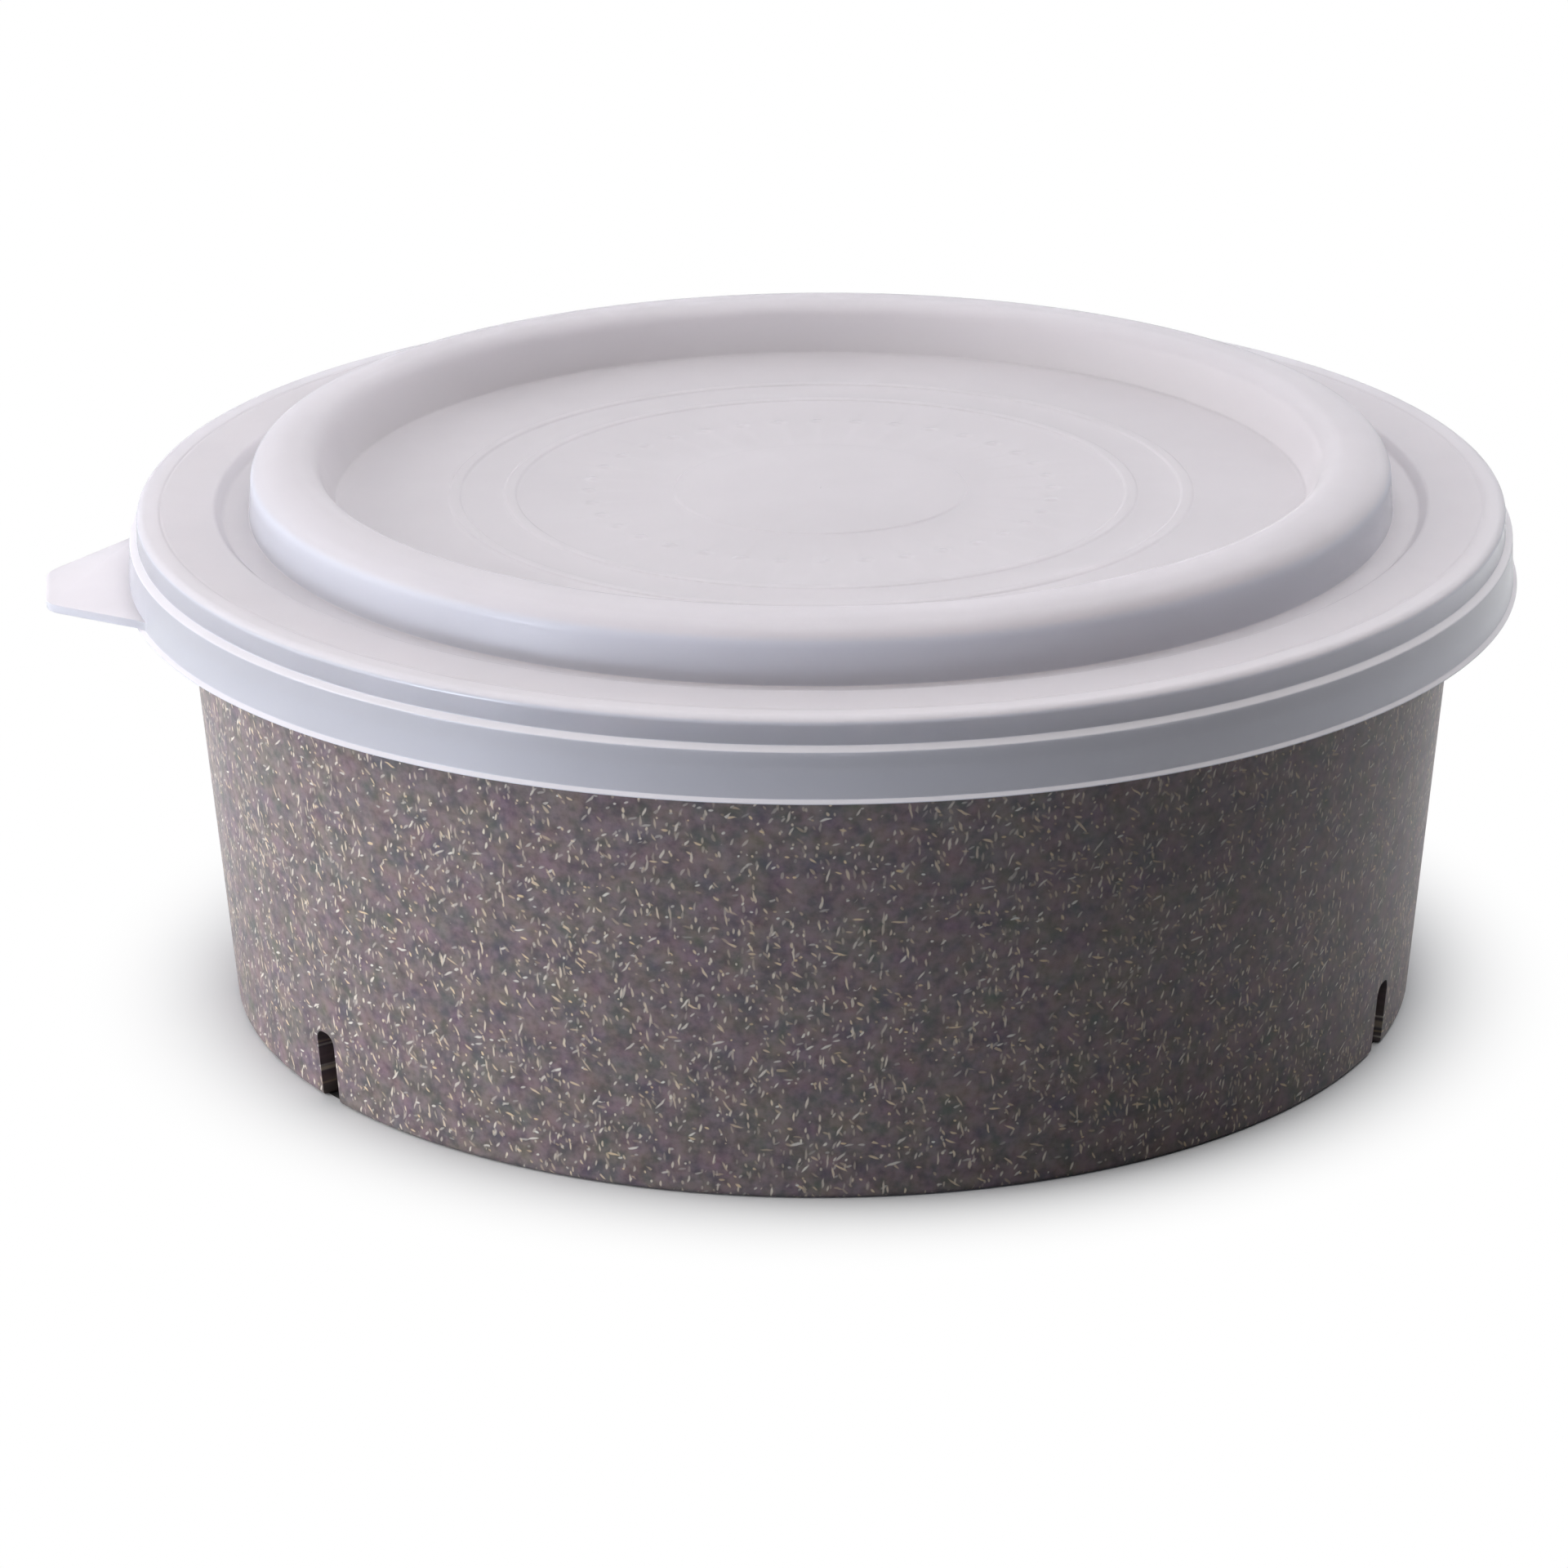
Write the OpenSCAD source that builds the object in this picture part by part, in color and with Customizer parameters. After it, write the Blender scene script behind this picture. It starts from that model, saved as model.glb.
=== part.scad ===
// Round food storage bowl with a press-on lid.
// The bowl stands on a notched foot skirt and has a flange around its mouth. The lid is one thin
// shell: it rests on the flange, hugs its edge, and carries a raised ring that the foot of another
// bowl drops over when two are stacked.
// All sizes are in millimetres. The foot stands on z = 0 and the bowl's axis is the z axis.

/* [Bowl] */
// Height of the bowl, from the table to the top of its rim
bowl_h = 65; // [50:0.5:100]
// Radius of the mouth, inside the rim
mouth_r = 80; // [60:0.5:110]
// Draft of the wall from the vertical, in degrees
wall_draft = 5; // [3:0.25:9]
// Thickness of the wall
wall_t = 3; // [2:0.1:4]
// Thickness of the floor
floor_t = 3; // [2:0.1:5]
// Rounding between the wall and the floor, inside
floor_round = 7; // [2:0.5:12]

/* [Rim] */
// Width of the flange, outside the wall
flange_w = 3.9; // [3:0.1:7]
// Thickness of the flange
flange_t = 3; // [2:0.1:4]
// Rounding of the flange's outer edges
flange_round = 0.8; // [0.2:0.1:1]
// Rounding where the mouth meets the top of the rim
mouth_round = 1.2; // [0.2:0.1:2]
// Rounding under the flange, against the wall
neck_round = 1; // [0.2:0.1:2]

/* [Foot] */
// Depth of the hollow under the floor, inside the foot skirt
foot_h = 10; // [8:0.5:14]
// Draft of the foot skirt's inner face, in degrees
foot_draft = 1.5; // [0.5:0.25:4]
// Rounding of the edges that the bowl stands on
foot_round = 0.8; // [0.2:0.1:1]
// Rounding under the floor, inside the foot skirt
under_round = 2; // [0.5:0.1:4]
// Number of drain notches around the foot
notch_count = 3; // [2:1:8]
// Width of a notch
notch_w = 3.8; // [2:0.1:8]
// Height of the solid left between a notch and the floor
notch_bridge = 0.5; // [0.2:0.1:3]
// Rounding of a notch's upper corners
notch_round = 1.5; // [0.2:0.1:3]
// Rounding of a notch's two corners at the table
notch_mouth_round = 0.8; // [0.2:0.1:1.5]
// Turn of the first notch about the axis, in degrees
notch_turn = 91; // [0:1:180]

/* [Lid] */
// Thickness of the lid
lid_t = 1; // [0.7:0.1:1.5]
// Height of the stacking ring above the rim
ring_h = 6.6; // [4:0.1:9]
// Width of the stacking ring at its foot
ring_w = 10; // [8:0.1:16]
// Draft of the stacking ring's walls, in degrees
ring_draft = 4; // [1:0.5:12]
// Rounding of the stacking ring's crest
ring_round = 2.2; // [1:0.1:6]
// Rounding where the stacking ring meets the panel
panel_round = 1; // [0.3:0.1:2]
// Depth of the gutter around the stacking ring, below the rim
gutter_d = 1.2; // [0.5:0.1:2.5]
// Slope of the gutter's outer wall from the vertical, in degrees
gutter_slope = 45; // [5:1:60]
// Rounding of the gutter's corners
gutter_round = 0.7; // [0.2:0.1:1.5]
// Rounding of the lid's outer edge
rim_round = 0.6; // [0.5:0.1:2]
// Draft of the skirt, in degrees
skirt_draft = 7; // [2:0.5:12]
// Width of the step between the skirt's two bands
step_w = 0.6; // [0.3:0.1:2]
// Rounding of the step
step_round = 0.3; // [0.1:0.05:0.5]
// Height of the lower band, from the step to the lip
band_h = 6.4; // [4:0.1:12]
// Rounding of the lip
lip_round = 0.4; // [0.1:0.05:0.5]

/* [Pull tab] */
// Reach of the tab beyond the lip
tab_reach = 10.1; // [6:0.1:20]
// Width of the tab where it leaves the lip
tab_root_w = 37; // [26:1:50]
// Width of the tab at its tip, before rounding
tab_tip_w = 12.6; // [8:0.2:22]
// Thickness of the tab
tab_t = 1.1; // [0.8:0.1:2]
// Slope of the tab, down from the lip, in degrees
tab_droop = 5; // [0:0.5:12]
// Rounding of the tab's tip corners
tab_tip_round = 5; // [1:0.5:6]
// Rounding where the tab's sides run into the lip
tab_root_round = 6; // [1:0.5:8]

/* [Fits] */
// Gap between the flange's edge and the lid's skirt
skirt_gap = 0.3; // [0.2:0.05:0.8]
// Gap between the mouth and the gutter's outer wall, which centres the lid
plug_gap = 0.7; // [0.3:0.1:2]
// Gap between a foot skirt and the stacking ring that it drops over
stack_gap = 0.5; // [0.2:0.1:2]
// Room between the flange's underside and the skirt's inner step
hook_gap = 0.5; // [0.2:0.1:1.5]

/* [Hidden] */
$fn = 180;

// Largest bend of one straight piece of a rounded corner, in degrees
arc_step = 12;
// Distance that a cut runs past the solid it cuts
cut_run = 2;
// Length of lip that the tab's root rounding may use, on each side
root_run = 8;

// Bowl
foot_r = mouth_r + wall_t - bowl_h * tan(wall_draft);
foot_in_r = foot_r - wall_t;
foot_in_top_r = foot_in_r - foot_h * tan(foot_draft);
floor_z = foot_h + floor_t;
flange_z = bowl_h - flange_t;
flange_r = mouth_r + wall_t + flange_w;
notch_h = foot_h - notch_bridge;
notch_drop = notch_mouth_round / 8;

// Lid
rim_z = bowl_h + lid_t;
crest_z = rim_z + ring_h;
gutter_z = rim_z - gutter_d;
ring_r = foot_in_r - stack_gap;
panel_r = ring_r - ring_w;
gutter_r = mouth_r - plug_gap - lid_t;
skirt_r = flange_r + skirt_gap + lid_t;
step_z = flange_z - hook_gap + lid_t;
step_r = skirt_r + (rim_z - step_z) * tan(skirt_draft);
lip_z = step_z - band_h;
lip_r = step_r + step_w + band_h * tan(skirt_draft);
bead_wall_r = step_r + step_w - lid_t;
bead_r = bead_wall_r - flange_r - skirt_gap;
bead_z = flange_z - hook_gap - bead_r;

// Pull tab
tab_root_half = tab_root_w / 2;
tab_tip_half = tab_tip_w / 2;
tab_tip_r = lip_r + tab_reach;

function xy(corner) = [corner[0], corner[1]];
function unit(v) = v / norm(v);
function right_of(v) = [v[1], -v[0]];
function turned(v, angle) = [
    v[0] * cos(angle) - v[1] * sin(angle),
    v[0] * sin(angle) + v[1] * cos(angle)
];
function reversed(list) = [for (i = [len(list) - 1 : -1 : 0]) list[i]];

// Radius of the bowl's outer wall at a height, and of its inner wall
function outer_r(z) = foot_r + z * tan(wall_draft);
function inner_r(z) = outer_r(z) - wall_t;

// Distance of the lip's edge from the tab's cross line, a given way off the tab's middle
function lip_reach(off) = sqrt(lip_r * lip_r - off * off);

// A path of [x, y, rounding] corners moved a distance t to its right, its roundings kept concentric
function parallel(path, t) = [
    for (i = [0 : len(path) - 1])
        let (
            here = xy(path[i]),
            into = i > 0 ? unit(here - xy(path[i - 1])) : unit(xy(path[1]) - here),
            out = i < len(path) - 1 ? unit(xy(path[i + 1]) - here) : into,
            moved = here + (right_of(into) + right_of(out)) * t / (1 + into * out),
            bend = sign(cross(into, out))
        )
        [moved[0], moved[1], bend == 0 ? path[i][2] : max(0, path[i][2] + bend * t)]
];

// A closed outline of [x, y, rounding] corners, each rounded as far as its two sides have room
function rounded(corners) = [
    for (i = [0 : len(corners) - 1])
        let (
            count = len(corners),
            here = xy(corners[i]),
            before = xy(corners[(i + count - 1) % count]),
            after = xy(corners[(i + 1) % count]),
            into = unit(here - before),
            out = unit(after - here),
            turn = acos(max(-1, min(1, into * out))),
            room = min(norm(here - before), norm(after - here)) / 2,
            r = turn < 1 ? 0 : min(corners[i][2], room / tan(turn / 2)),
            side = cross(into, out) > 0 ? 1 : -1,
            start = here - into * r * tan(turn / 2),
            centre = start - side * r * right_of(into),
            steps = ceil(turn / arc_step)
        )
        each r == 0
            ? [here]
            : [for (k = [0 : steps]) centre + turned(start - centre, side * turn * k / steps)]
];

// Half section of the bowl: under the floor, round the foot, up the wall, over the rim and inside
bowl_section = rounded([
    [0, foot_h, 0],
    [foot_in_top_r, foot_h, under_round],
    [foot_in_r, 0, foot_round],
    [foot_r, 0, foot_round],
    [outer_r(flange_z), flange_z, neck_round],
    [flange_r, flange_z, flange_round],
    [flange_r, bowl_h, flange_round],
    [mouth_r, bowl_h, mouth_round],
    [inner_r(floor_z), floor_z, floor_round],
    [0, floor_z, 0]
]);

// Upper face of the lid: panel, stacking ring, gutter, rim, upper band, step, lower band and lip
lid_face = [
    [0, rim_z, 0],
    [panel_r, rim_z, panel_round],
    [panel_r + ring_h * tan(ring_draft), crest_z, ring_round],
    [ring_r - (crest_z - gutter_z) * tan(ring_draft), crest_z, ring_round],
    [ring_r, gutter_z, gutter_round],
    [gutter_r - gutter_d * tan(gutter_slope), gutter_z, gutter_round],
    [gutter_r, rim_z, gutter_round],
    [skirt_r, rim_z, rim_round],
    [step_r, step_z, step_round],
    [step_r + step_w, step_z, step_round],
    [lip_r, lip_z, lip_round]
];

// Half section of the lid: its upper face and the same face one thickness below
lid_section = rounded(concat(lid_face, reversed(parallel(lid_face, lid_t))));

// One notch seen from outside, with its corners at the table rounded away
notch_face = rounded([
    [-notch_w / 2 - cut_run, -cut_run, 0],
    [-notch_w / 2 - cut_run, -notch_drop, 0],
    [-notch_w / 2, -notch_drop, notch_mouth_round],
    [-notch_w / 2, notch_h, notch_round],
    [notch_w / 2, notch_h, notch_round],
    [notch_w / 2, -notch_drop, notch_mouth_round],
    [notch_w / 2 + cut_run, -notch_drop, 0],
    [notch_w / 2 + cut_run, -cut_run, 0]
]);

// Plan of the tab, from the lip to its tip, pointing along -x
tab_plan = rounded([
    [-lip_reach(tab_root_half + root_run), tab_root_half + root_run, 0],
    [-lip_reach(tab_root_half), tab_root_half, tab_root_round],
    [-tab_tip_r, tab_tip_half, tab_tip_round],
    [-tab_tip_r, -tab_tip_half, tab_tip_round],
    [-lip_reach(tab_root_half), -tab_root_half, tab_root_round],
    [-lip_reach(tab_root_half + root_run), -tab_root_half - root_run, 0]
]);

module notch() {
    translate([foot_in_top_r - cut_run, 0, 0])
        rotate([90, 0, 90])
            linear_extrude(outer_r(notch_h) - foot_in_top_r + 2 * cut_run)
                polygon(notch_face);
}

module bowl() {
    color([0.27, 0.24, 0.24])
        difference() {
            rotate_extrude() polygon(bowl_section);
            for (i = [0 : notch_count - 1])
                rotate(notch_turn + i * 360 / notch_count) notch();
        }
}

module pull_tab() {
    difference() {
        translate([-lip_r, 0, lip_z])
            rotate([0, -tab_droop, 0])
                translate([lip_r, 0, 0])
                    linear_extrude(tab_t) polygon(tab_plan);
        translate([0, 0, lip_z - band_h]) cylinder(r = lip_r - lid_t / 2, h = 2 * band_h);
    }
}

module lid() {
    color([0.85, 0.84, 0.87, 0.75]) {
        rotate_extrude() {
            polygon(lid_section);
            translate([bead_wall_r, bead_z]) circle(bead_r);
        }
        pull_tab();
    }
}

bowl();
lid();
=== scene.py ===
"""Looks of a round food storage bowl with a press-on lid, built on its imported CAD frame."""

import math

import bpy
import numpy as np
from mathutils import Matrix, Vector


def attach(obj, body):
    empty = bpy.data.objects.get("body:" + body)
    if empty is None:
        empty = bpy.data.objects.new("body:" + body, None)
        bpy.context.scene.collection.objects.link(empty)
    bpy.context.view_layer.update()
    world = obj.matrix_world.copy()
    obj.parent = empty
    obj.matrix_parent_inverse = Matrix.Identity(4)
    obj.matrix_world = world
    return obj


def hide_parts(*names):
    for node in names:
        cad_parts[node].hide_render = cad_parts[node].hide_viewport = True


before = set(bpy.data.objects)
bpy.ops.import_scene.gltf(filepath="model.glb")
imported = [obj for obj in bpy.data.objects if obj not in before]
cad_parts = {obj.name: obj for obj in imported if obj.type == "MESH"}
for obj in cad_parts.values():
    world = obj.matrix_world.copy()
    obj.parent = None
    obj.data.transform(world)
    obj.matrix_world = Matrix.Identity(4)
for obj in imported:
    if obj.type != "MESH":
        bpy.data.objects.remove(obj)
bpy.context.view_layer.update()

MM = 0.001

# Bowl, in millimetres, as in the part's source
BOWL_H = 65
MOUTH_R = 80
WALL_DRAFT = math.radians(5)
WALL_T = 3
FLOOR_T = 3
FLOOR_ROUND = 7
FLANGE_W = 3.9
FLANGE_T = 3
FLANGE_ROUND = 0.8
MOUTH_ROUND = 1.2
NECK_ROUND = 1
FOOT_H = 10
FOOT_DRAFT = math.radians(1.5)
FOOT_ROUND = 0.8
UNDER_ROUND = 2
NOTCH_COUNT = 3
NOTCH_W = 3.8
NOTCH_H = FOOT_H - 0.5
NOTCH_ROUND = 1.5
NOTCH_MOUTH_ROUND = 0.8
NOTCH_TURN = math.radians(91)
NOTCH_RUN = 2

FOOT_R = MOUTH_R + WALL_T - BOWL_H * math.tan(WALL_DRAFT)
FOOT_IN_R = FOOT_R - WALL_T
FOOT_IN_TOP_R = FOOT_IN_R - FOOT_H * math.tan(FOOT_DRAFT)
FLOOR_Z = FOOT_H + FLOOR_T
FLANGE_Z = BOWL_H - FLANGE_T
FLANGE_R = MOUTH_R + WALL_T + FLANGE_W

# Lid, in millimetres
LID_T = 1
RING_H = 6.6
RING_DRAFT = math.radians(4)
GUTTER_D = 1.2
GUTTER_SLOPE = math.radians(45)
GUTTER_ROUND = 0.7
RIM_ROUND = 0.6
SKIRT_DRAFT = math.radians(7)
STEP_W = 0.6
STEP_ROUND = 0.3
BAND_H = 6.4
LIP_ROUND = 0.4
SKIRT_GAP = 0.3
PLUG_GAP = 0.7
STACK_GAP = 0.5
HOOK_GAP = 0.5

RIM_Z = BOWL_H + LID_T
CREST_Z = RIM_Z + RING_H
GUTTER_Z = RIM_Z - GUTTER_D
RING_R = FOOT_IN_R - STACK_GAP
GUTTER_R = MOUTH_R - PLUG_GAP - LID_T
SKIRT_R = FLANGE_R + SKIRT_GAP + LID_T
STEP_Z = FLANGE_Z - HOOK_GAP + LID_T
STEP_R = SKIRT_R + (RIM_Z - STEP_Z) * math.tan(SKIRT_DRAFT)
LIP_Z = STEP_Z - BAND_H
LIP_R = STEP_R + STEP_W + BAND_H * math.tan(SKIRT_DRAFT)
BEAD_MID_R = STEP_R + STEP_W - LID_T
BEAD_R = BEAD_MID_R - FLANGE_R - SKIRT_GAP
BEAD_Z = FLANGE_Z - HOOK_GAP - BEAD_R

# Pull tab, in millimetres
TAB_REACH = 10.1
TAB_ROOT_W = 37
TAB_TIP_W = 12.6
TAB_T = 1.1
TAB_DROOP = math.radians(5)
TAB_TIP_ROUND = 5
TAB_ROOT_ROUND = 6
TAB_ROOT_RUN = 8
TAB_EDGE = 0.3
TAB_SINK = 0.72
TAB_INNER = 0.88

# Finer forms of the lid's skirt and rim than the solids have, in millimetres
LEDGE_R = SKIRT_R + 0.1
LEDGE_Z = STEP_Z - 0.4
LEDGE_H = 0.5
LEDGE_ROUND = 0.25
LEDGE_TOP_ROUND = 0.15
LIP_FLARE = 0.55
LIP_FLARE_ROUND = 0.2
LIP_RISE = 0.35
LIP_H = 0.15
LIP_EDGE = 0.12
LIP_LOW_Z = LIP_Z - 0.3
RIM_EDGE = 1.0
DISH_R = 62.6
DISH_EDGE = 0.4
DISH_TOP_R = 65.3
CREST_EDGE_IN = 3.0
CREST_R = 69.8
CREST_ROUND = 8
CREST_FALL = 1.2
CREST_EDGE_OUT = 4.2
GUTTER_FOOT = 0.2
SEAT_GAP = 0.05
RIM_LINE_R = 85.2
RIM_LINE_W = 0.5
RIM_LINE_D = 0.08
RIM_LINE_ROUND = 0.3

# Moulded relief in the lid's sunk middle: a round plateau, a row of pips and raised rings
RELIEF = 0.22
RELIEF_EDGE = 0.45
PLATEAU_R = 19
RELIEF_RINGS = [(39.4, 40.9), (46.6, 48.1)]
PIP_COUNT = 36
PIP_ROW_R = 30
PIP_R = 1.15

# Fineness of the meshes, in millimetres and counts
ARC_BEND = math.radians(15)
ARC_ERROR = 0.004
STRAIGHT = math.radians(1)
CLOSE = 0.001
TRIM = 0.06
BRACE = 0.12
BOWL_COLUMNS = 360
BOWL_ROW = 6
BOWL_SHARP = 40
LID_COLUMNS = 600
LID_FIRST_ROW = 4
LID_ROW = 3.5
LID_ROW_CLEAR = 1
LID_SHARP = 50
RELIEF_EDGE_ROWS = 7
PIP_ROWS = 11
BEAD_STEP = 0.05
BEAD_ROWS = 14
TAB_ROOT_POINTS = 41
TAB_EDGE_SEGMENTS = 3
TAB_EDGE_ANGLE = math.radians(60)

# Bowl's plastic: its base, and its fibres from deep to pale straw, some of them pinkish
BASE_DARK = (0.12, 0.088, 0.088, 1)
BASE_PALE = (0.298, 0.223, 0.219, 1)
STRAW_DEEP = (0.92, 0.7, 0.4, 1)
STRAW_PALE = (1.0, 0.97, 0.86, 1)
STRAW_PINK = (0.82, 0.68, 0.6, 1)

# Lid's plastic: two tints each for its level faces and, as painted shade, darker and bluer ones for its
# upright outer walls
LEVEL_SHADES = (0.965, 0.925, 0.95, 1), (0.985, 0.945, 0.97, 1)
UPRIGHT_PAINTED_SHADE = (0.87, 0.875, 0.94, 1), (0.89, 0.895, 0.96, 1)

# How milky parts of the lid are, from 0 for the plain skin to 1, and how clear that makes them
LEDGE_MILK = 0.65
LIP_MILK = 0.85
EDGE_MILK = 0.2
CREST_MILK = 0.5
INNER_MILK = 0.4
TAB_MILK = 0.25
BAND_MILK = 0.15
SKIN_CLEAR = 0.66
MILK_CLEAR = 0.2
UPPER_CLEARER = 0.2

# Gloss on the lid's outer walls, and how far below the ring's crest it fades out, in millimetres
GLOSS = 0.85
GLOSS_FULL = 4.5
GLOSS_END = 2

# Stage: the floor in metres, and how far the shadow shows from the foot, in millimetres
FLOOR_SIZE = 3.0
FLOOR_DROP = 0.00002
FLOOR_MIRROR_FROM = 0.1
FLOOR_MIRROR_FULL = 0.3
SHADOW_REACH = 22
FLOOR_LIGHTING = (0.14, 0.15, 0.17, 1)
FLOOR_SEEN = (0.95, 0.95, 0.95, 1)
# Painted shadow: the colour the floor shows inside the bowl's foot
FLOOR_PAINTED_SHADOW = (0.1, 0.1, 0.1, 1)
WHITE = (1, 1, 1, 1)
SKY = (0.94, 0.98, 1.08, 1)
SKY_FRONT = 0.04
SKY_BACK = 0.9
LAMP_AIM = Vector((0, 0, 0.05))

# Camera, fitted at a lid 170 mm across and scaled to this one's 180 mm: pixels, metres and radians
IMAGE = 1920
FOCAL = 7918.198
CENTRE_X = 1005.708
CENTRE_Y = 857.202
DISTANCE = 0.84706
PITCH = 0.3396887
ROLL = -0.0037884
TURN = math.radians(-5.7)
FOCUS_Z = 35 * 180 / 170


def unit(v):
    return v / np.linalg.norm(v)


def rounded(path, closed=False):
    """Points of a path of (x, y, rounding) corners, each corner rounded as far as its sides have room."""
    count = len(path)
    points = []
    for i, corner in enumerate(path):
        here = np.array(corner[:2], float)
        if not closed and i in (0, count - 1):
            points.append(here)
            continue
        before = np.array(path[i - 1][:2], float)
        after = np.array(path[(i + 1) % count][:2], float)
        into, out = unit(here - before), unit(after - here)
        turn = math.acos(max(-1.0, min(1.0, float(into @ out))))
        room = min(np.linalg.norm(here - before), np.linalg.norm(after - here)) / 2
        if turn < STRAIGHT or corner[2] == 0:
            points.append(here)
            continue
        radius = min(corner[2], room / math.tan(turn / 2))
        side = 1 if into[0] * out[1] - into[1] * out[0] > 0 else -1
        start = here - into * radius * math.tan(turn / 2)
        centre = start + side * radius * np.array([-into[1], into[0]])
        bend = 2 * math.acos(1 - min(1.0, ARC_ERROR / radius))
        steps = math.ceil(turn / min(ARC_BEND, bend))
        for k in range(steps + 1):
            c, s = math.cos(side * turn * k / steps), math.sin(side * turn * k / steps)
            d = start - centre
            points.append(centre + np.array([d[0] * c - d[1] * s, d[0] * s + d[1] * c]))
    points = [p for p, q in zip(points, points[-1:] + points) if np.linalg.norm(p - q) > CLOSE]
    return points if closed else braced(points)


def braced(points):
    """The path with points added near the ends of its straight runs, which keeps their shading flat."""
    out = [points[0]]
    for a, b in zip(points, points[1:]):
        long = np.linalg.norm(b - a)
        if long > 4 * BRACE:
            out += [a + (b - a) * BRACE / long, b - (b - a) * BRACE / long]
        out.append(b)
    return out


def parallel(path, t):
    """A path of (x, y, rounding) corners moved by t to its right, with its roundings concentric."""
    moved = []
    for i, corner in enumerate(path):
        here = np.array(corner[:2], float)
        second = np.array(path[1][:2], float)
        into = unit(here - np.array(path[i - 1][:2], float)) if i else unit(second - here)
        out = unit(np.array(path[i + 1][:2], float) - here) if i < len(path) - 1 else into
        right = np.array([into[1] + out[1], -into[0] - out[0]])
        place = here + right * t / (1 + into @ out)
        bend = np.sign(round(float(into[0] * out[1] - into[1] * out[0]), 9))
        radius = max(0, corner[2] + bend * t) if bend else corner[2]
        moved.append((place[0], place[1], radius))
    return moved


def filled(points, longest):
    """The path with its straight runs cut into pieces no longer than this."""
    out = [points[0]]
    for a, b in zip(points, points[1:]):
        pieces = max(1, math.ceil(np.linalg.norm(b - a) / longest))
        out += [a + (b - a) * k / pieces for k in range(1, pieces + 1)]
    return out


def mesh_object(name, vertices, faces):
    """A new object of these faces, from vertices in millimetres."""
    mesh = bpy.data.meshes.new(name)
    mesh.from_pydata((np.array(vertices) * MM).tolist(), [], faces)
    mesh.update()
    made = bpy.data.objects.new(name, mesh)
    bpy.context.scene.collection.objects.link(made)
    return made


def revolved(name, section, columns, lift=None):
    """A solid turned about the z axis from a section between two points on it, lifted off the axis."""
    angles = np.arange(columns) * 2 * math.pi / columns
    cos, sin = np.cos(angles), np.sin(angles)
    vertices, rows = [], []
    for k, (r, z) in enumerate(section):
        if r < 1e-6:
            rows.append([len(vertices)] * columns)
            vertices.append((0, 0, z))
            continue
        rise = lift(k, r, angles) if lift else np.zeros(columns)
        rows.append(list(range(len(vertices), len(vertices) + columns)))
        vertices += np.stack([r * cos, r * sin, z + rise], 1).tolist()
    faces = []
    for low, high in zip(rows, rows[1:]):
        for i in range(columns):
            j = (i + 1) % columns
            face = dict.fromkeys((low[i], low[j], high[j], high[i]))
            faces.append(tuple(face))
    return mesh_object(name, vertices, faces)


def prism(name, outline, low, high):
    """A solid with this outline in the xy plane, from z = low to z = high."""
    count = len(outline)
    vertices = [(x, y, low) for x, y in outline] + [(x, y, high) for x, y in outline]
    faces = [tuple(range(count - 1, -1, -1)), tuple(range(count, 2 * count))]
    for i in range(count):
        j = (i + 1) % count
        faces.append((i, j, count + j, count + i))
    return mesh_object(name, vertices, faces)


def applied(piece):
    """Replaces the mesh by the one that its modifiers give, and drops them."""
    bpy.context.view_layer.update()
    graph = bpy.context.evaluated_depsgraph_get()
    mesh = bpy.data.meshes.new_from_object(piece.evaluated_get(graph))
    piece.modifiers.clear()
    piece.data = mesh
    mesh.name = piece.name


def combined(piece, tool, operation):
    """Cuts the tool out of the piece or joins it on, and removes the tool."""
    step = piece.modifiers.new("combine", "BOOLEAN")
    step.operation = operation
    step.solver = "MANIFOLD"
    step.object = tool
    applied(piece)
    bpy.data.objects.remove(tool)


def finished(piece, body, node, material, sharp):
    """Shades the piece, smooth across edges up to this many degrees, and fits it to its body and node."""
    piece.data.shade_smooth()
    piece.data.set_sharp_from_angle(angle=math.radians(sharp))
    piece.data.materials.clear()
    piece.data.materials.append(material)
    for face in piece.data.polygons:
        face.material_index = 0
    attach(piece, body)
    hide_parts(node)


def outer_r(z):
    """Radius of the bowl's outer wall at a height."""
    return FOOT_R + z * math.tan(WALL_DRAFT)


def make_bowl():
    section = rounded([
        (0, FOOT_H, 0),
        (FOOT_IN_TOP_R, FOOT_H, UNDER_ROUND),
        (FOOT_IN_R, 0, FOOT_ROUND),
        (FOOT_R, 0, FOOT_ROUND),
        (outer_r(FLANGE_Z), FLANGE_Z, NECK_ROUND),
        (FLANGE_R, FLANGE_Z, FLANGE_ROUND),
        (FLANGE_R, BOWL_H, FLANGE_ROUND),
        (MOUTH_R, BOWL_H, MOUTH_ROUND),
        (outer_r(FLOOR_Z) - WALL_T, FLOOR_Z, FLOOR_ROUND),
        (0, FLOOR_Z, 0),
    ])
    bowl = revolved("bowl_body", filled(section, BOWL_ROW), BOWL_COLUMNS)
    half, run, drop = NOTCH_W / 2, NOTCH_RUN, NOTCH_MOUTH_ROUND / 8
    face = rounded([
        (-half - run, -run, 0),
        (-half - run, -drop, 0),
        (-half, -drop, NOTCH_MOUTH_ROUND),
        (-half, NOTCH_H, NOTCH_ROUND),
        (half, NOTCH_H, NOTCH_ROUND),
        (half, -drop, NOTCH_MOUTH_ROUND),
        (half + run, -drop, 0),
        (half + run, -run, 0),
    ], closed=True)[::-1]
    for k in range(NOTCH_COUNT):
        cutter = prism("notch", face, FOOT_IN_TOP_R - run, outer_r(NOTCH_H) + run)
        turn = Matrix.Rotation(NOTCH_TURN + k * 2 * math.pi / NOTCH_COUNT, 4, "Z")
        stand = Matrix(((0, 0, 1, 0), (1, 0, 0, 0), (0, 1, 0, 0), (0, 0, 0, 1)))
        cutter.data.transform(turn @ stand)
        combined(bowl, cutter, "DIFFERENCE")
    return bowl


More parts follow.
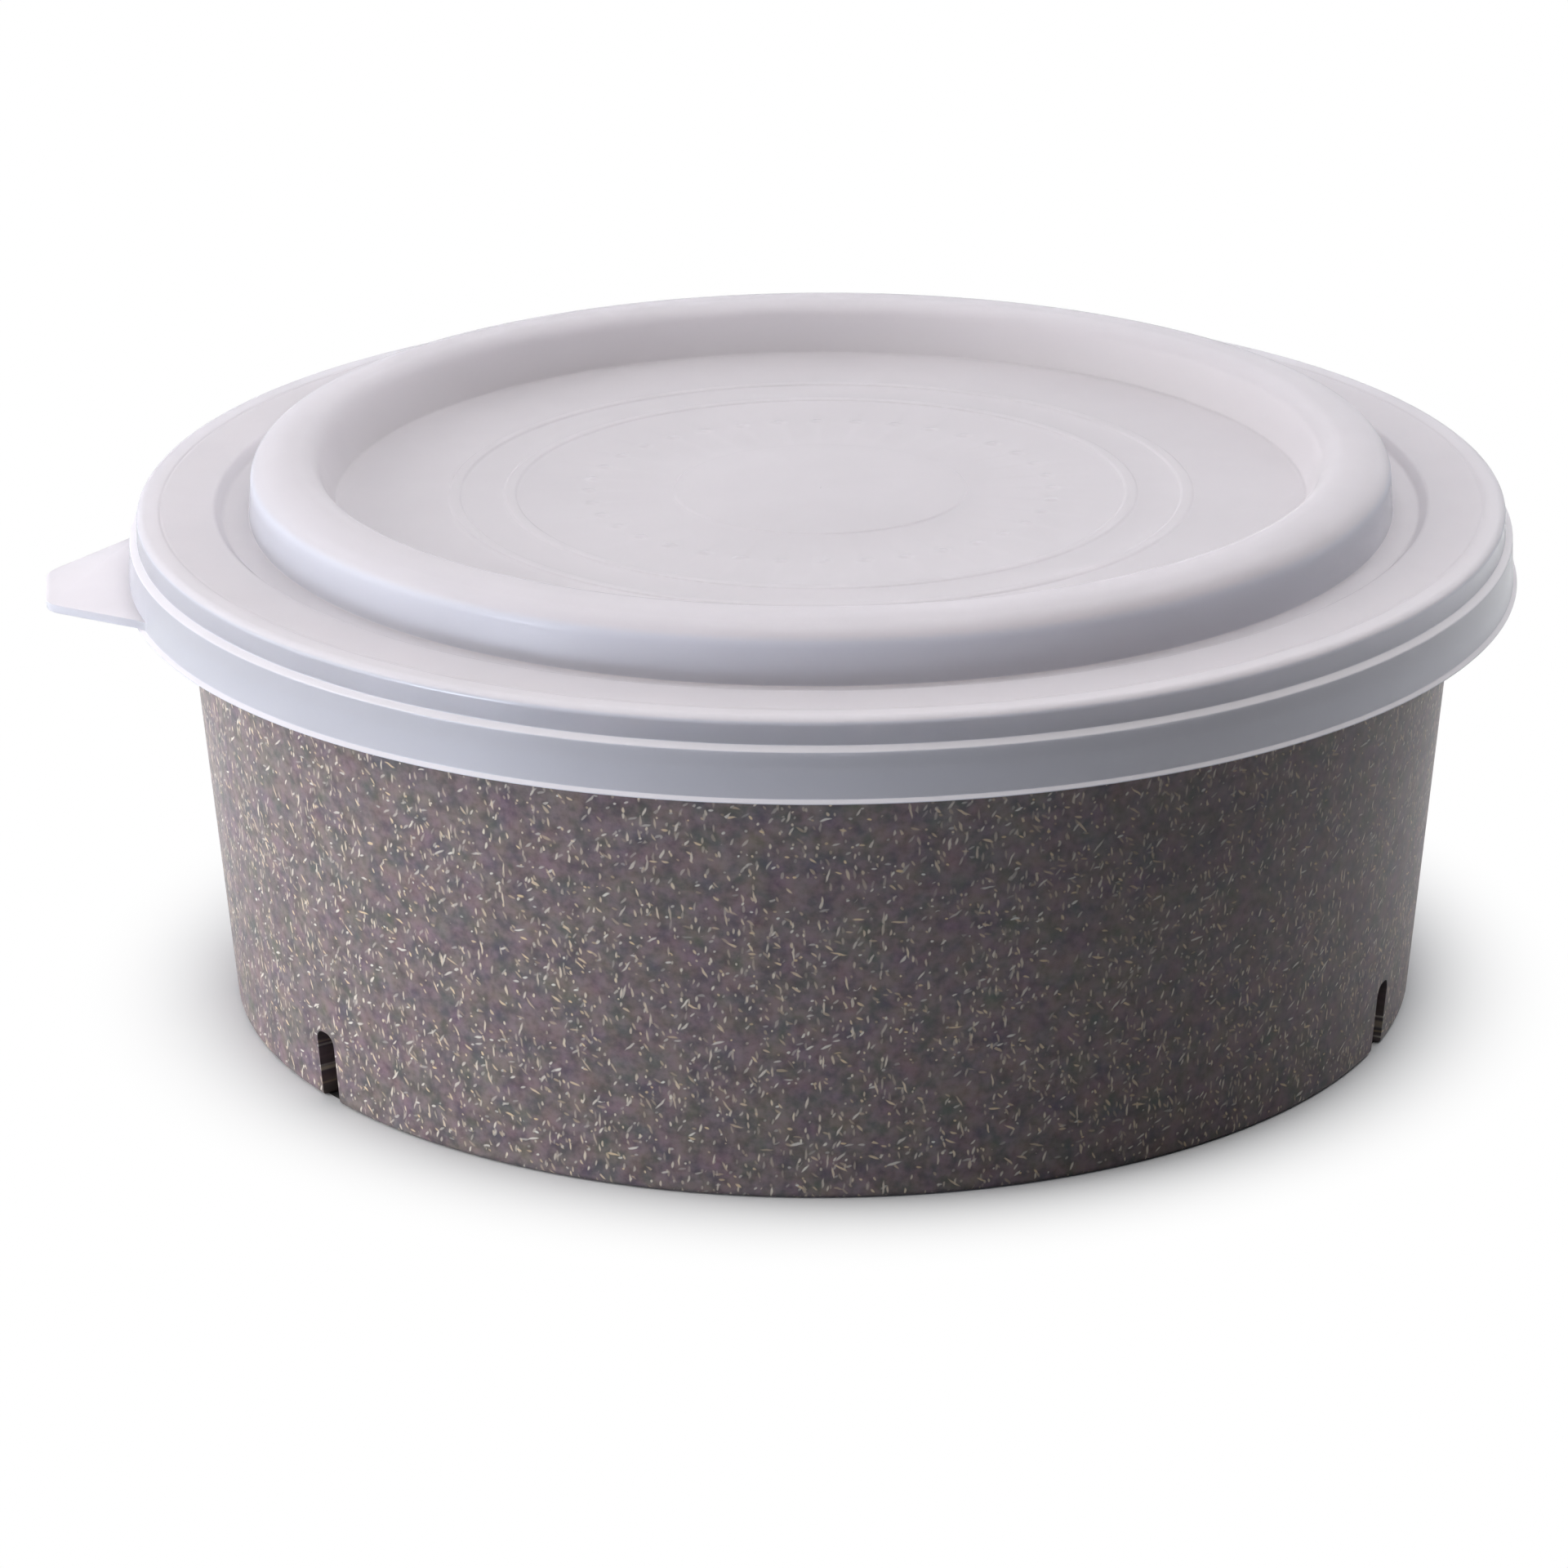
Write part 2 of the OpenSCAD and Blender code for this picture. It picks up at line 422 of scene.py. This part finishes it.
def step_up(distance, width):
    """0 below the middle of a soft step, 1 above it."""
    t = np.clip(distance / width + 0.5, 0, 1)
    return t * t * (3 - 2 * t)


def lid_radii(outer):
    """Radii of the mesh rows across the sunk middle of the lid."""
    edges = [PLATEAU_R] + [r for ring in RELIEF_RINGS for r in ring]
    radii = {0.0, outer}
    for edge in edges:
        low, high = edge - RELIEF_EDGE / 2, edge + RELIEF_EDGE / 2
        radii |= set(np.linspace(low, high, RELIEF_EDGE_ROWS).round(4))
    radii |= set(np.linspace(PIP_ROW_R - PIP_R, PIP_ROW_R + PIP_R, PIP_ROWS).round(4))
    for r in np.arange(LID_FIRST_ROW, outer - LID_ROW_CLEAR, LID_ROW):
        if min(abs(r - known) for known in radii) > LID_ROW_CLEAR:
            radii.add(float(r))
    return sorted(radii)


def relief(r, angles):
    """Height of the moulded relief at a radius, for all angles."""
    rise = 1 - step_up(r - PLATEAU_R, RELIEF_EDGE)
    for low, high in RELIEF_RINGS:
        rise += step_up(r - low, RELIEF_EDGE) - step_up(r - high, RELIEF_EDGE)
    spacing = 2 * math.pi / PIP_COUNT
    off = (angles % spacing - spacing / 2) * PIP_ROW_R
    distance = np.hypot(off, r - PIP_ROW_R) / PIP_R
    return RELIEF * (rise + np.clip(1 - distance ** 2, 0, 1) ** 2)


def with_bead(section):
    """The lid's section with a round bead joined to the inside of its skirt."""
    centre = np.array([BEAD_MID_R, BEAD_Z])
    runs = [
        (k, p) for k, ends in enumerate(zip(section, section[1:])) for p in filled(ends, BEAD_STEP)
    ]
    inside = [
        k for k, (_, p) in enumerate(runs)
        if np.linalg.norm(p - centre) < BEAD_R and p[0] < BEAD_MID_R + LID_T / 2
    ]
    (low, start), (high, end) = runs[inside[0] - 1], runs[inside[-1] + 1]
    turns = [math.atan2(*(p - centre)[::-1]) % (2 * math.pi) for p in (start, end)]
    arc = [
        centre + BEAD_R * np.array([math.cos(t), math.sin(t)]) for t in np.linspace(*turns, BEAD_ROWS)
    ]
    return section[:low + 1] + arc + section[high + 1:]


def make_lid():
    shoulder_z = CREST_Z - CREST_FALL
    shoulder_r = RING_R - (shoulder_z - GUTTER_Z) * math.tan(RING_DRAFT)
    middle = [
        (0, RIM_Z, 0),
        (DISH_R, RIM_Z, DISH_EDGE),
        (DISH_TOP_R, CREST_Z, CREST_EDGE_IN),
        (CREST_R, CREST_Z, CREST_ROUND),
        (shoulder_r, shoulder_z, CREST_EDGE_OUT),
        (RING_R, GUTTER_Z, GUTTER_FOOT),
        (GUTTER_R - GUTTER_D * math.tan(GUTTER_SLOPE), GUTTER_Z, GUTTER_ROUND),
        (GUTTER_R, RIM_Z, GUTTER_ROUND),
    ]
    face = middle + [
        (SKIRT_R, RIM_Z, RIM_ROUND),
        (STEP_R, STEP_Z, STEP_ROUND),
        (STEP_R + STEP_W, STEP_Z, STEP_ROUND),
        (LIP_R, LIP_Z, LIP_ROUND),
    ]
    skin = middle + [
        (RIM_LINE_R - RIM_LINE_W / 2, RIM_Z, 0),
        (RIM_LINE_R, RIM_Z - RIM_LINE_D, RIM_LINE_ROUND),
        (RIM_LINE_R + RIM_LINE_W / 2, RIM_Z, 0),
        (SKIRT_R, RIM_Z, RIM_EDGE),
        (LEDGE_R, LEDGE_Z + LEDGE_H, LEDGE_TOP_ROUND),
        (STEP_R + STEP_W, LEDGE_Z, LEDGE_ROUND),
        (LIP_R - LIP_FLARE, LIP_LOW_Z + LIP_H + LIP_RISE, LIP_FLARE_ROUND),
        (LIP_R - TRIM, LIP_LOW_Z + LIP_H, LIP_EDGE),
        (LIP_R - TRIM, LIP_LOW_Z, LIP_EDGE),
    ]
    under = parallel(face, LID_T - SEAT_GAP)
    under[-1] = (under[-1][0], LIP_LOW_Z, 0)
    section = rounded(skin + under[::-1])
    radii = lid_radii(section[1][0])
    top = [np.array([r, RIM_Z]) for r in radii]
    section = top + with_bead(section[1:])[1:]
    first_lifted = len(section) - len(top) + 1

    def lift(k, r, angles):
        return relief(r, angles) if k >= first_lifted else np.zeros(len(angles))

    lid = revolved("lid_shell", section[::-1], LID_COLUMNS, lift)
    combined(lid, make_tab(), "UNION")
    return lid


def make_tab():
    root, tip = TAB_ROOT_W / 2, TAB_TIP_W / 2
    end = root + TAB_ROOT_RUN

    def lip_at(off):
        return -math.sqrt((LIP_R - TAB_SINK) ** 2 - off * off)

    outline = rounded([
        (lip_at(end), end, 0),
        (lip_at(root), root, TAB_ROOT_ROUND),
        (-LIP_R - TAB_REACH, tip, TAB_TIP_ROUND),
        (-LIP_R - TAB_REACH, -tip, TAB_TIP_ROUND),
        (lip_at(root), -root, TAB_ROOT_ROUND),
        (lip_at(end), -end, 0),
    ])
    inner = LIP_R - TAB_INNER
    spread = math.asin(end / LIP_R)
    turns = np.linspace(math.pi + spread, math.pi - spread, TAB_ROOT_POINTS)
    outline += [np.array([inner * math.cos(a), inner * math.sin(a)]) for a in turns]
    tab = prism("tab", outline, 0, TAB_T)
    edge = tab.modifiers.new("edge", "BEVEL")
    edge.width = TAB_EDGE * MM
    edge.segments = TAB_EDGE_SEGMENTS
    edge.limit_method = "ANGLE"
    edge.angle_limit = TAB_EDGE_ANGLE
    applied(tab)
    hinge = Vector((-LIP_R * MM, 0, 0))
    place = Matrix.Translation((-LIP_R * MM, 0, LIP_Z * MM))
    tab.data.transform(place @ Matrix.Rotation(-TAB_DROOP, 4, "Y") @ Matrix.Translation(-hinge))
    return tab


def new_material(name):
    made = bpy.data.materials.new(name)
    made.use_nodes = True
    tree = made.node_tree
    tree.nodes.clear()
    return made, tree


def add(tree, kind, inputs=None, **settings):
    """A new node with these settings, and its inputs set to values or fed by sockets."""
    made = tree.nodes.new(kind)
    for name, value in settings.items():
        setattr(made, name, value)
    for key, value in (inputs or {}).items():
        if isinstance(value, bpy.types.NodeSocket):
            tree.links.new(value, made.inputs[key])
        else:
            made.inputs[key].default_value = value
    return made


def maths(tree, operation, a, b=0.0, clamp=False):
    return add(tree, "ShaderNodeMath", {0: a, 1: b}, operation=operation, use_clamp=clamp).outputs[0]


def vector(tree, operation, a, b):
    return add(tree, "ShaderNodeVectorMath", {0: a, 1: b}, operation=operation).outputs[0]


def ramp(tree, value, low, high, to_low=0.0, to_high=1.0):
    made = add(tree, "ShaderNodeMapRange", {
        "Value": value, "From Min": low, "From Max": high, "To Min": to_low, "To Max": to_high,
    }, interpolation_type="SMOOTHSTEP")
    return made.outputs["Result"]


def blend(tree, share, a, b):
    made = add(tree, "ShaderNodeMix", data_type="RGBA")
    for key, value in (("Factor_Float", share), ("A_Color", a), ("B_Color", b)):
        socket = next(s for s in made.inputs if s.identifier == key)
        if isinstance(value, bpy.types.NodeSocket):
            tree.links.new(value, socket)
        else:
            socket.default_value = value
    return next(s for s in made.outputs if s.identifier == "Result_Color")


def noise(tree, where, scale, detail=2.0):
    made = add(tree, "ShaderNodeTexNoise", {"Vector": where, "Scale": scale, "Detail": detail})
    return made.outputs["Fac"], made.outputs["Color"]


def wall_place(tree):
    """Place on the surface in millimetres: round the wall and up it, or across a level face."""
    coordinates = add(tree, "ShaderNodeTexCoord")
    place = add(tree, "ShaderNodeSeparateXYZ", {0: coordinates.outputs["Object"]})
    x, y, z = place.outputs
    turn = maths(tree, "ARCTAN2", x, maths(tree, "MULTIPLY", y, -1.0))
    wall = add(tree, "ShaderNodeCombineXYZ", {
        0: maths(tree, "MULTIPLY", turn, MOUTH_R), 1: maths(tree, "DIVIDE", z, MM),
    }).outputs[0]
    level = add(tree, "ShaderNodeCombineXYZ", {
        0: maths(tree, "DIVIDE", x, MM), 1: maths(tree, "DIVIDE", y, MM),
    }).outputs[0]
    normal = add(tree, "ShaderNodeSeparateXYZ", {0: coordinates.outputs["Normal"]})
    flat = maths(tree, "GREATER_THAN", maths(tree, "ABSOLUTE", normal.outputs[2]), 0.75)
    made = add(tree, "ShaderNodeMix", data_type="VECTOR")
    for key, value in (("Factor_Float", flat), ("A_Vector", wall), ("B_Vector", level)):
        tree.links.new(value, next(s for s in made.inputs if s.identifier == key))
    return next(s for s in made.outputs if s.identifier == "Result_Vector")


def flecks(tree, place, cell, length, width, share, shift):
    """Short fibres, one to a cell at most: how much of one shows here, and a random colour for it."""
    scaled = vector(tree, "MULTIPLY_ADD", place, (1 / cell, 1 / cell, 0))
    scaled.node.inputs[2].default_value = (shift, 1.7 * shift, 0)
    cells = add(tree, "ShaderNodeTexVoronoi", {"Vector": scaled, "Scale": 1.0},
                voronoi_dimensions="2D")
    chance = add(tree, "ShaderNodeSeparateColor", {0: cells.outputs["Color"]}).outputs
    swing = maths(tree, "SUBTRACT", maths(tree, "MULTIPLY", chance[0], 2.0), 1.0)
    lean = maths(tree, "MULTIPLY", maths(tree, "MULTIPLY", swing, maths(tree, "ABSOLUTE", swing)),
                 math.pi / 2)
    local = vector(tree, "SUBTRACT", scaled, cells.outputs["Position"])
    turned = add(tree, "ShaderNodeVectorRotate", {"Vector": local, "Angle": lean},
                 rotation_type="Z_AXIS").outputs[0]
    across, along, _ = add(tree, "ShaderNodeSeparateXYZ", {0: turned}).outputs
    reach = ramp(tree, chance[2], 0.0, 1.0, 0.3 * length / cell, length / cell)
    oval = add(tree, "ShaderNodeCombineXYZ", {
        0: maths(tree, "DIVIDE", across, width / cell), 1: maths(tree, "DIVIDE", along, reach),
    }).outputs[0]
    size = add(tree, "ShaderNodeVectorMath", {0: oval}, operation="LENGTH").outputs["Value"]
    inside = ramp(tree, size, 0.45, 1.05, 1.0, 0.0)
    there = maths(tree, "LESS_THAN", chance[1], share)
    return maths(tree, "MULTIPLY", inside, there), chance


def fibre_plastic():
    """Dark satin plastic filled with short straw-coloured fibres."""
    made, tree = new_material("fibre_plastic")
    place = wall_place(tree)
    _, sway = noise(tree, place, 0.7, 1.0)
    bend = vector(tree, "MULTIPLY", vector(tree, "SUBTRACT", sway, (0.5, 0.5, 0.5)), (0.5, 0.5, 0))
    place_bent = vector(tree, "ADD", place, bend)
    crowd, _ = noise(tree, place, 0.11, 3.0)
    dense = ramp(tree, crowd, 0.36, 0.66, 0.18, 0.95)
    sparse = ramp(tree, crowd, 0.3, 0.7, 0.35, 0.75)

    mottle, _ = noise(tree, place, 0.9, 3.0)
    cloud, tint = noise(tree, place, 0.32, 3.0)
    shade = ramp(tree, maths(tree, "ADD", mottle, cloud), 0.65, 1.35)
    colour = blend(tree, 0.1, blend(tree, shade, BASE_DARK, BASE_PALE), tint)

    # Each layer's cell size and its fibres' half length and half width are in millimetres
    bump = mottle
    for cell, length, width, share, shift, strength in (
        (1.5, 0.75, 0.2, sparse, 3.1, 0.55),
        (1.45, 0.6, 0.19, dense, 17.3, 0.9),
        (1.9, 0.95, 0.21, dense, 41.9, 1.0),
        (3.6, 1.2, 0.18, 0.4, 71.7, 1.0),
    ):
        shown, chance = flecks(tree, place_bent, cell, length, width, share, shift)
        straw = blend(tree, chance[0], STRAW_DEEP, STRAW_PALE)
        straw = blend(tree, maths(tree, "MULTIPLY", chance[2], 0.4), straw, STRAW_PINK)
        depth = ramp(tree, chance[1], 0.05, 0.6, strength, strength * 0.38)
        seen = maths(tree, "MULTIPLY", shown, depth)
        colour = blend(tree, seen, colour, straw)
        bump = maths(tree, "ADD", bump, maths(tree, "MULTIPLY", seen, 0.5))

    grain, _ = noise(tree, place, 5.0, 2.0)
    rough = ramp(tree, grain, 0.2, 0.8, 0.34, 0.46)
    surface = add(tree, "ShaderNodeBump", {
        "Strength": 0.12, "Distance": 0.00015, "Height": maths(tree, "ADD", bump, grain),
    })
    shader = add(tree, "ShaderNodeBsdfPrincipled", {
        "Base Color": colour, "Roughness": rough, "Normal": surface.outputs[0], "IOR": 1.5,
        "Specular IOR Level": 0.3,
    })
    add(tree, "ShaderNodeOutputMaterial", {"Surface": shader.outputs[0]})
    return made


def milky_plastic():
    """Thin translucent plastic, milkier at its edges and steps, with a soft gloss on its outer walls, and
    a painted shade on those walls: a darker, bluer copy of its colour.
    """
    made, tree = new_material("milky_plastic")
    coordinates = add(tree, "ShaderNodeTexCoord")
    place = coordinates.outputs["Object"]
    cloud, _ = noise(tree, place, 45.0, 3.0)
    drift = ramp(tree, cloud, 0.3, 0.7)
    level = blend(tree, drift, *LEVEL_SHADES)
    # Painted shade: a darker, bluer copy of the plastic's colour for the upright outer walls
    upright = blend(tree, drift, *UPRIGHT_PAINTED_SHADE)
    facing = add(tree, "ShaderNodeSeparateXYZ", {0: coordinates.outputs["Normal"]}).outputs[2]
    x, y, z = add(tree, "ShaderNodeSeparateXYZ", {0: place}).outputs
    out = add(tree, "ShaderNodeVectorMath", {
        0: add(tree, "ShaderNodeCombineXYZ", {0: x, 1: y}).outputs[0],
    }, operation="LENGTH").outputs["Value"]
    slope = maths(tree, "ABSOLUTE", facing)
    steep = ramp(tree, slope, 0.25, 0.6, 1.0, 0.0)
    outside = maths(tree, "GREATER_THAN", out, CREST_R * MM)
    wall = maths(tree, "MULTIPLY", steep, outside)
    gloss = maths(tree, "MULTIPLY", ramp(tree, slope, 0.15, 0.35, GLOSS, 0.0), outside)
    below_crest = ramp(tree, z, (CREST_Z - GLOSS_FULL) * MM, (CREST_Z - GLOSS_END) * MM, 1.0, 0.0)
    gloss = maths(tree, "MULTIPLY", gloss, below_crest)
    # Painted shade: the upright outer walls take the darker, bluer copy, and the level faces keep the
    # plastic's own colour
    colour = blend(tree, wall, level, upright)

    def between(value, low, high, soft):
        """1 between two measures in millimetres, and 0 this far outside them."""
        rising = ramp(tree, value, (low - soft) * MM, low * MM)
        falling = ramp(tree, value, high * MM, (high + soft) * MM, 1.0, 0.0)
        return maths(tree, "MULTIPLY", rising, falling)

    skirt = maths(tree, "GREATER_THAN", out, SKIRT_R * MM)
    ledge = maths(tree, "MULTIPLY", skirt, between(z, LEDGE_Z - 0.05, LEDGE_Z + LEDGE_H, 0.1))
    lip = maths(tree, "MULTIPLY", skirt, between(z, 0, LIP_LOW_Z + LIP_H + LIP_RISE, 0.1))
    edge = maths(tree, "MULTIPLY", between(out, RIM_LINE_R + 1, SKIRT_R + 0.2, 0.8),
                 between(z, RIM_Z - RIM_EDGE, RIM_Z + 1, 0.3))
    to_crest = ramp(tree, z, RIM_Z * MM, (CREST_Z - 1) * MM, 0.0, CREST_MILK)
    to_low_band = ramp(tree, z, (LEDGE_Z - 1) * MM, LEDGE_Z * MM, BAND_MILK, 0.0)
    milk = maths(tree, "MULTIPLY", ledge, LEDGE_MILK)
    for part in (
        maths(tree, "MULTIPLY", lip, LIP_MILK),
        maths(tree, "MULTIPLY", edge, EDGE_MILK),
        maths(tree, "MULTIPLY", skirt, to_low_band),
        maths(tree, "MULTIPLY", steep, to_crest),
        ramp(tree, out, (LIP_R + 0.2) * MM, (LIP_R + 1.5) * MM, 0.0, TAB_MILK),
        maths(tree, "MULTIPLY", maths(tree, "SUBTRACT", steep, wall), INNER_MILK),
    ):
        milk = maths(tree, "MAXIMUM", milk, part)
    clear = ramp(tree, milk, 0.0, 1.0, SKIN_CLEAR, MILK_CLEAR)
    clear.node.interpolation_type = "LINEAR"
    upper = maths(tree, "MULTIPLY", skirt, between(z, LEDGE_Z + LEDGE_H + 0.3, RIM_Z - RIM_EDGE, 0.2))
    clear = maths(tree, "ADD", clear, maths(tree, "MULTIPLY", upper, UPPER_CLEARER))
    wave, _ = noise(tree, place, 160.0, 2.0)
    rough = ramp(tree, wave, 0.25, 0.75, 0.56, 0.62)
    surface = add(tree, "ShaderNodeBump", {"Strength": 0.1, "Distance": 0.0001, "Height": wave})
    shader = add(tree, "ShaderNodeBsdfPrincipled", {
        "Base Color": colour, "Roughness": rough, "Normal": surface.outputs[0], "IOR": 1.49,
        "Transmission Weight": clear, "Coat Weight": gloss,
        "Coat Roughness": 0.26, "Coat IOR": 1.5,
    })
    add(tree, "ShaderNodeOutputMaterial", {"Surface": shader.outputs[0]})
    return made


def seen_rays(tree):
    """1 for rays from the camera, and 1 for reflected or transmitted ones that nothing has scattered."""
    path = add(tree, "ShaderNodeLightPath").outputs
    onward = maths(tree, "MAXIMUM", path["Is Glossy Ray"], path["Is Transmission Ray"])
    unscattered = maths(tree, "LESS_THAN", path["Diffuse Depth"], 0.5)
    return path["Is Camera Ray"], maths(tree, "MULTIPLY", onward, unscattered)


def make_stage():
    """A floor that shows white round the object's shadow, with a painted shadow on it inside the foot,
    and is open from below, and a white studio.
    """
    mesh = bpy.data.meshes.new("floor")
    size = FLOOR_SIZE
    corners = [(-size, -size), (size, -size), (size, size), (-size, size)]
    mesh.from_pydata([(x, y, -FLOOR_DROP) for x, y in corners], [], [(0, 1, 2, 3)])
    floor = bpy.data.objects.new("floor", mesh)
    bpy.context.scene.collection.objects.link(floor)
    made, tree = new_material("floor_white")
    place = add(tree, "ShaderNodeTexCoord").outputs["Object"]
    reach = add(tree, "ShaderNodeVectorMath", {0: place}, operation="LENGTH").outputs["Value"]
    direct, onward = seen_rays(tree)
    shadow = maths(tree, "DIVIDE", maths(tree, "SUBTRACT", reach, FOOT_R * MM), SHADOW_REACH * MM, True)
    near = maths(tree, "SUBTRACT", 1.0, shadow)
    around = maths(tree, "SUBTRACT", 1.0, maths(tree, "MULTIPLY", near, near))
    beyond = ramp(tree, reach, FLOOR_MIRROR_FROM, FLOOR_MIRROR_FULL)
    share = maths(tree, "MAXIMUM", maths(tree, "MULTIPLY", direct, around),
                  maths(tree, "MULTIPLY", onward, beyond))
    # Painted shadow: inside the foot's ring, the floor as seen is painted dark grey
    under = maths(tree, "LESS_THAN", reach, (FOOT_R - 1) * MM)
    bright = blend(tree, under, FLOOR_SEEN, FLOOR_PAINTED_SHADOW)
    colour = blend(tree, maths(tree, "MAXIMUM", direct, onward), FLOOR_LIGHTING, bright)
    plain = add(tree, "ShaderNodeBsdfDiffuse", {"Color": colour})
    white = add(tree, "ShaderNodeEmission", {"Color": WHITE, "Strength": 1.0})
    both = add(tree, "ShaderNodeMixShader", {0: share, 1: plain.outputs[0], 2: white.outputs[0]})
    from_below = add(tree, "ShaderNodeNewGeometry").outputs["Backfacing"]
    open_below = add(tree, "ShaderNodeMixShader", {
        0: from_below, 1: both.outputs[0], 2: add(tree, "ShaderNodeBsdfTransparent").outputs[0],
    })
    add(tree, "ShaderNodeOutputMaterial", {"Surface": open_below.outputs[0]})
    mesh.materials.append(made)

    world = bpy.data.worlds.new("studio")
    bpy.context.scene.world = world
    world.use_nodes = True
    tree = world.node_tree
    tree.nodes.clear()
    towards = add(tree, "ShaderNodeTexCoord").outputs["Generated"]
    behind = add(tree, "ShaderNodeSeparateXYZ", {0: towards}).outputs[1]
    soft = add(tree, "ShaderNodeBackground", {
        "Color": SKY, "Strength": ramp(tree, behind, 0.1, 0.7, SKY_FRONT, SKY_BACK),
    })
    white = add(tree, "ShaderNodeBackground", {"Color": WHITE, "Strength": 1.0})
    both = add(tree, "ShaderNodeMixShader", {
        0: maths(tree, "MAXIMUM", *seen_rays(tree)), 1: soft.outputs[0], 2: white.outputs[0],
    })
    add(tree, "ShaderNodeOutputWorld", {"Surface": both.outputs[0]})


def make_lamp(name, place, width, height, power, colour=(1, 1, 1)):
    """An oval area lamp, in metres and watts, that faces the object."""
    data = bpy.data.lights.new(name, "AREA")
    data.shape = "ELLIPSE"
    data.size = width
    data.size_y = height
    data.energy = power
    data.color = colour
    lamp = bpy.data.objects.new(name, data)
    bpy.context.scene.collection.objects.link(lamp)
    lamp.location = place
    lamp.rotation_mode = "QUATERNION"
    lamp.rotation_quaternion = (LAMP_AIM - Vector(place)).to_track_quat("-Z", "Y")


def make_camera():
    """The photograph's camera: 0.85 m away, looking down at 19.5 degrees, with the tab at the left."""
    spin = Matrix.Rotation(TURN, 3, "Z")
    forward = spin @ Vector((0, math.cos(PITCH), -math.sin(PITCH)))
    level = spin @ Vector((1, 0, 0))
    upright = level.cross(forward)
    right = math.cos(ROLL) * level + math.sin(ROLL) * upright
    up = -math.sin(ROLL) * level + math.cos(ROLL) * upright
    data = bpy.data.cameras.new("camera")
    data.sensor_width = 36
    data.lens = FOCAL * data.sensor_width / IMAGE
    data.clip_start, data.clip_end = 0.05, 20
    camera = bpy.data.objects.new("camera", data)
    bpy.context.scene.collection.objects.link(camera)
    middle = IMAGE / 2
    aim = forward + right * (middle - CENTRE_X) / FOCAL - up * (middle - CENTRE_Y) / FOCAL
    aim.normalize()
    right = (right - aim * right.dot(aim)).normalized()
    up = right.cross(aim)
    turned = Matrix((right, up, -aim)).transposed().to_4x4()
    focus = Vector((0, 0, FOCUS_Z * MM))
    camera.matrix_world = Matrix.Translation(focus - forward * DISTANCE) @ turned
    bpy.context.scene.camera = camera


make_camera()
make_stage()
make_lamp("key", (-1.14, 0.08, 0.42), 1.1, 1.1, 10.8)
make_lamp("strip", (-1.06, -0.54, 0.05), 0.4, 0.1, 4.4, (0.9, 0.97, 1.12))
make_lamp("rim", (0.87, 0.72, 0.46), 0.9, 0.9, 1.8)
make_lamp("top", (0.08, -0.1, 1.2), 1.3, 1.3, 11.0)
finished(make_bowl(), "bowl", "bowl", fibre_plastic(), BOWL_SHARP)
finished(make_lid(), "lid", "lid", milky_plastic(), LID_SHARP)
bpy.context.scene.view_settings.view_transform = "Standard"
